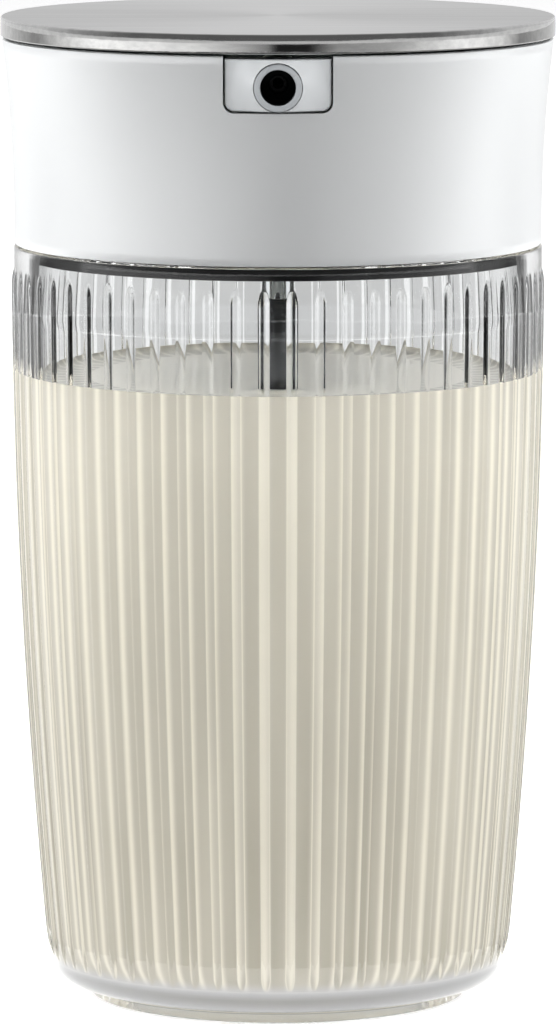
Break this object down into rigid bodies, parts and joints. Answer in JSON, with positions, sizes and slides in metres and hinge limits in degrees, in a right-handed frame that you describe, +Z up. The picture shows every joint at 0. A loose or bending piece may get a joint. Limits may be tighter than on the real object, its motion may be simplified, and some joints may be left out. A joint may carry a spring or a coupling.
{
  "type": "milk container for a milk frother",
  "caption": "Fluted glass milk container with a flared satin collar, a swappable milk port in its front, a suction pipe inside and a brushed steel lid.",
  "frame": {"origin": "centre of the glass foot ring, on the surface that the container stands on", "axes": "+Z up along the container's axis, -Y towards the milk port at the front, +X to the right of someone facing the port"},
  "size_m": [0.098, 0.098, 0.1746],
  "materials": {
    "glass": "clear, pressed, polished",
    "clear_plastic": "clear moulded plastic",
    "satin_white": "satin white with a faint silver sheen",
    "grey_plastic": "fine moulded texture",
    "port_grey": "smooth light grey plastic",
    "black_rubber": "matt black silicone",
    "dark_plastic": "smooth anthracite plastic",
    "brushed_steel": "brushed top with a polished rim",
    "bonding_pad": "foam bonding tape",
    "milk": "liquid milk, glossy surface"
  },
  "bodies": {
    "vessel": {"glass_vessel": "glass"},
    "seal": {"mouth_seal": "black_rubber"},
    "collar": {"collar_shell": "satin_white", "collar_liner": "grey_plastic", "liner_seal": "black_rubber"},
    "port": {"port_face": "port_grey", "port_ring": "port_grey", "port_grommet": "black_rubber", "port_elbow": "dark_plastic", "elbow_seal": "black_rubber", "spigot_seal_1": "black_rubber", "spigot_seal_2": "black_rubber"},
    "pipe": {"pipe_adapter": "clear_plastic", "suction_pipe": "dark_plastic", "pipe_sleeve": "clear_plastic", "pipe_tip": "dark_plastic"},
    "lid": {"steel_cap": "brushed_steel", "lid_bonding_pad": "bonding_pad", "lid_carrier": "grey_plastic", "lid_grip_band": "black_rubber"}
  },
  "joints": [
    {"name": "collar_lift", "type": "slide", "parent": "vessel", "child": "seal", "axis": [0, 0, 1], "range_m": [0, 0.19]},
    {"name": "collar_turn", "type": "hinge", "parent": "seal", "child": "collar", "pos_m": [0, 0, 0.14], "axis": [0, 0, 1], "continuous": true},
    {"name": "insert_lift", "type": "slide", "parent": "collar", "child": "port", "axis": [0, 0, 1], "range_m": [0, 0.03]},
    {"name": "lid_lift", "type": "slide", "parent": "port", "child": "lid", "axis": [0, 0, 1], "range_m": [0, 0.05]},
    {"name": "pipe_pull", "type": "slide", "parent": "port", "child": "pipe", "axis": [0, 0, -1], "range_m": [0, 0.005]}
  ]
}
